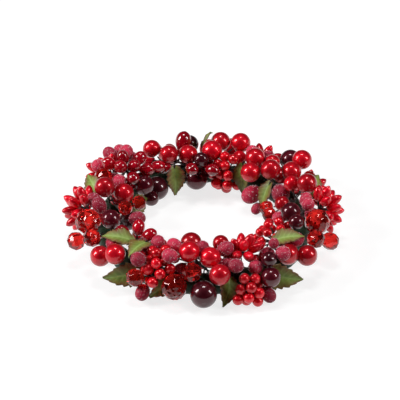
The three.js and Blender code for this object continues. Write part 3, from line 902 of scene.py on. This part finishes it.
blades = {node: find_leaf(node) for node in sorted(slot_of) if slot_of[node] == "leaf"}
lengths = [measures[-2] / MM for measures, stalk in blades.values()]
print(f"{len(blades)} blades, from {min(lengths):.1f} to {max(lengths):.1f} mm long")

# %% [markdown]
# ## Leaf dye
#
# The leaves are stamped from dyed cloth: green, with paler veins and a rusty brown margin that comes and
# goes. A painted picture could hold this, but every leaf would have to be unwrapped for it. So each point
# of a blade carries two attributes, how far across it lies and how deep a vein runs there, and the
# colours follow them.

# %% Dye both sides of a leaf
LEAF_CLOUDS = (160, 0.9)
RUST_CLOUDS = (220, 0.9)
RUST_LEAST = 0.55
RUST_FULL = 0.85
LEAF_GRAIN = (2600, 0.4)
LEAF_ROUGHNESS = 0.45


def leaf_finish(name, dark, light, rust, rib, rust_from):
    """Mottled green that turns rusty towards the margin, with paler veins."""
    material, tree, surface = nodes_of(name)
    green = group_node(tree, mottle, (*dark, 1), (*light, 1), *LEAF_CLOUDS)
    patchy = group_node(tree, mottle, (RUST_LEAST, RUST_LEAST, RUST_LEAST, 1), (1, 1, 1, 1), *RUST_CLOUDS)
    edge = carried(tree, attribute(tree, "across"), (rust_from, RUST_FULL))
    margin = mixed(tree, computed(tree, "MULTIPLY", edge, patchy), green, (*rust, 1))
    veined = mixed(tree, attribute(tree, "vein"), margin, (*rib, 1))
    relief = group_node(tree, skin, *LEAF_GRAIN)
    set_inputs(tree, surface, Base_Color=veined, Normal=relief, Roughness=LEAF_ROUGHNESS)
    return material


LEAF = leaf_finish("dyed_leaf", dark=(0.105, 0.185, 0.024), light=(0.27, 0.39, 0.065),
                   rust=(0.20, 0.055, 0.024), rib=(0.36, 0.48, 0.14), rust_from=0.15)
LEAF_UNDER = leaf_finish("leaf_underside", dark=(0.16, 0.27, 0.09), light=(0.30, 0.42, 0.18),
                         rust=(0.20, 0.10, 0.05), rib=(0.32, 0.44, 0.20), rust_from=0.7)
print(LEAF.name, "and", LEAF_UNDER.name)

# %% [markdown]
# ## Teeth and veins
#
# The stamp gives a leaf its toothed outline, a pressed midrib and slanting side veins. A flat card with a
# cut-out picture would do from above only, and a sculpted leaf couldn't be repeated in other sizes. So
# the outline and the veins are written as two small functions of the place on the blade.

# %% Outline and veins of a blade
LEAF_FULLNESS = 0.75
LEAF_TEETH = 7
TOOTH_DEPTH = 0.2
VEIN_ROWS = 7.8
VEIN_SLANT = 0.16
VEIN_SHARPNESS = 5
SIDE_VEIN = 0.5
MIDRIB_SHARPNESS = 7


def breadth_at(t, width):
    """Half the breadth of the toothed outline at t along the blade."""
    tooth = (t * LEAF_TEETH) % 1.0
    return math.sin(math.pi * t ** LEAF_FULLNESS) * width / 2 * (1 - TOOTH_DEPTH * (1 - tooth))


def vein_at(t, s):
    """How deep a vein runs at t along the blade and s across it."""
    row = (t - VEIN_SLANT * abs(s)) * VEIN_ROWS
    side_vein = max(0.0, 1 - abs(row - round(row)) * VEIN_SHARPNESS) * (1 - abs(s)) ** 0.5
    return max(side_vein * SIDE_VEIN, max(0.0, 1 - abs(s) * MIDRIB_SHARPNESS))


print("a vein's depth is", vein_at(0.5, 0.0), "on the midrib and", vein_at(0.5, 1.0), "at the edge")

# %% [markdown]
# ## Bending a blade
#
# A real leaf of this kind is cupped along its midrib, arched from end to end, and ripples a little at its
# edges. A lattice could bend a flat leaf, but would need one more object for each. So a fine grid is
# drawn out to the outline and bent in one go, in the leaf's own directions. It is then given thickness,
# and its two sides get a dye each.

# %% Lay one blade
LEAF_ROWS, LEAF_COLUMNS = 63, 16
LEAF_THICKNESS = 0.5 * MM
LEAF_CUP = 0.18
VEIN_DEPTH = 0.22 * MM
RIPPLE = 0.35 * MM
RIPPLE_WAVES, RIPPLE_SKEW = 17, 2
RIPPLE_STARTS = (0, 6)
LEAF_TONES = (0.25, 0.75)


def thicken(bm, sheet, thickness, outwards):
    """Gives a sheet thickness on its inner side, where outwards tells the outer side at a point."""
    for face in sheet:
        face.normal_update()
        if face.normal.dot(outwards(face.calc_center_median())) < 0:
            face.normal_flip()
    bmesh.ops.solidify(bm, geom=sheet, thickness=thickness)


def add_blade(bm, base, along, across, face, length, width):
    layers = bm.verts.layers.float
    tone_layer, across_layer, vein_layer = layers["tone"], layers.new("across"), layers.new("vein")
    tone_value = chance.uniform(*LEAF_TONES)
    start = chance.uniform(*RIPPLE_STARTS)
    sheet = bmesh.ops.create_grid(bm, x_segments=LEAF_ROWS, y_segments=LEAF_COLUMNS, size=1)["verts"]
    for vert in sheet:
        t = LEAF_SPAN[0] + (LEAF_SPAN[1] - LEAF_SPAN[0]) * (vert.co.x + 1) / 2
        s = vert.co.y
        breadth, vein = breadth_at(t, width), vein_at(t, s)
        height = -LEAF_ARCH * length * (2 * t - 1) ** 2 + LEAF_CUP * abs(s * breadth) - vein * VEIN_DEPTH
        height += RIPPLE * s * s * math.sin(t * RIPPLE_WAVES + start + RIPPLE_SKEW * s)
        vert.co = base + along * (t * length) + across * (s * breadth) + face * height
        vert[tone_layer], vert[across_layer], vert[vein_layer] = tone_value, abs(s), vein
    flat = list(dict.fromkeys(f for vert in sheet for f in vert.link_faces))
    thicken(bm, flat, LEAF_THICKNESS, lambda middle: face)
    for made in bm.faces:
        if made.material_index == SKIN_SLOT:
            made.smooth = True
            made.material_index = EXTRA_SLOT if made.normal.dot(face) < 0 else SKIN_SLOT


print("a blade is a grid of", LEAF_ROWS, "by", LEAF_COLUMNS, "faces")

# %% [markdown]
# ## Whole leaves
#
# A leaf's blade is glued to its stalk, and the two are bent together. They could be two objects with one
# parent, but the frame has one node for both. So a leaf's mesh begins with its rounded stalk, as a pick's
# does, and the blade is laid over it.

# %% Dress the leaves
def dress_leaf(node):
    (*place, length, width), stalk = blades[node]
    bm = begin_with_wires(node, stalk)
    add_blade(bm, *place, length, width * fullness(node, 1.0))
    return piece(f"dressed_{node}", bm, node, [LEAF, STEM, LEAF_UNDER])


leaves = [dress_leaf(node) for node in blades]
print(sum(len(made.data.polygons) for made in leaves), "faces on", len(leaves), "leaves")

# %% [markdown]
# ## Hoop
#
# The hoop is a wire in a smooth dark cover, and the tape hides nearly all of it. The menu's torus would
# do, but a circle that is spun about the wreath's axis takes its sizes straight from the frame.

# %% Spin the hoop
HOOP_SIDES = 16
HOOP_STEPS = 120
HOOP = finish("covered_hoop", (0.012, 0.028, 0.014), (0.03, 0.06, 0.03), mottling=(500, 1.0),
              texture=(1200, 0.2), Roughness=0.4)


def smoothed(bm):
    for face in bm.faces:
        face.smooth = True
    return bm


hoop = bmesh.new()
stand = Matrix.Translation((hoop_radius, 0, hoop_height)) @ Matrix.Rotation(math.pi / 2, 4, "X")
ring = bmesh.ops.create_circle(hoop, segments=HOOP_SIDES, radius=hoop_wire / 2, matrix=stand)
bmesh.ops.spin(hoop, geom=ring["verts"] + hoop.edges[:], cent=(0, 0, 0), axis=(0, 0, 1), angle=2 * math.pi,
               steps=HOOP_STEPS, use_merge=True)
bmesh.ops.recalc_face_normals(hoop, faces=hoop.faces)
dressed_hoop = piece("dressed_hoop_wire", smoothed(hoop), "hoop_wire", [HOOP])
print(len(dressed_hoop.data.polygons), "faces on the hoop")

# %% [markdown]
# ## Winding of the tape
#
# Floral tape is a stretched, waxed paper strip that sticks to itself. It is wound in turns that lap, with
# the stems caught under them, and is pressed flat where the wreath stands on the table. A torus with a
# striped bump would have no edges where one turn lies on the next. So the place of every point of the
# strip is worked out: each turn leans a little, so that one of its edges lies over the turn before, and
# fine folds crinkle it.

# %% Place a point of the tape
TAPE_TURNS = 20
TAPE_WIDTH = 19.4 * MM
LEAN = 1.1 * MM
CRINKLE = 0.16 * MM
FOLDS, FOLD_WANDER, WANDER_WAVES = 34, 3, 2.3
CROSS_SHARE, CROSS_FOLDS, CROSS_SLANT = 0.6, 41, 9
tape_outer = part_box("floral_tape")[1].z - hoop_height


def crinkle_at(turns, s):
    folds = math.sin(s * FOLDS + FOLD_WANDER * math.sin(turns * WANDER_WAVES))
    return folds + CROSS_SHARE * math.sin(turns * CROSS_FOLDS + s * CROSS_SLANT)


def wound(turns, s):
    """The place of a point of the tape: so many turns along it, and s from edge to edge."""
    angle = 2 * math.pi * turns / TAPE_TURNS + s * TAPE_WIDTH / hoop_radius
    round_hoop = 2 * math.pi * turns - math.pi / 2
    distance = tape_outer - CRINKLE + CRINKLE * crinkle_at(turns, s) + LEAN * s
    radius = hoop_radius + distance * math.cos(round_hoop)
    height = hoop_height + distance * math.sin(round_hoop)
    return Vector((radius * math.cos(angle), radius * math.sin(angle), max(height, 0.0)))


print(f"tape wound {tape_outer / MM:.1f} mm from the hoop's middle line")

# %% [markdown]
# ## Tape
#
# On the bench the strip comes off a roll, flat. A flat grid is the same strip here: its rows are carried
# to their places on the hoop, and it is given thickness inwards, away from the eye, so that its outside
# keeps the frame's size. Wax makes the dark green paper dull, so little light is mirrored.

# %% Wind the tape
TAPE_END = 0.99
TAPE_STEPS = 30
TAPE_COLUMNS = 14
TAPE_THICKNESS = 0.6 * MM
TAPE = finish("floral_tape", (0.016, 0.040, 0.020), (0.055, 0.105, 0.058), mottling=(450, 1.0),
              texture=(1800, 0.7), Roughness=0.5, Specular_IOR_Level=0.2)


def from_hoop(point):
    on_hoop = Vector((point.x, point.y, 0)).normalized() * hoop_radius
    on_hoop.z = hoop_height
    return point - on_hoop


tape = bmesh.new()
tape.verts.layers.float.new("tone")
tape_rows = int(TAPE_TURNS * TAPE_STEPS * TAPE_END)
bmesh.ops.create_grid(tape, x_segments=tape_rows, y_segments=TAPE_COLUMNS, size=1)
for vert in tape.verts:
    vert.co = wound(TAPE_TURNS * TAPE_END * (vert.co.x + 1) / 2, vert.co.y / 2)
thicken(tape, tape.faces[:], TAPE_THICKNESS, from_hoop)
dressed_tape = piece("dressed_floral_tape", smoothed(tape), "floral_tape", [TAPE])
print(len(dressed_tape.data.polygons), "faces on the tape")
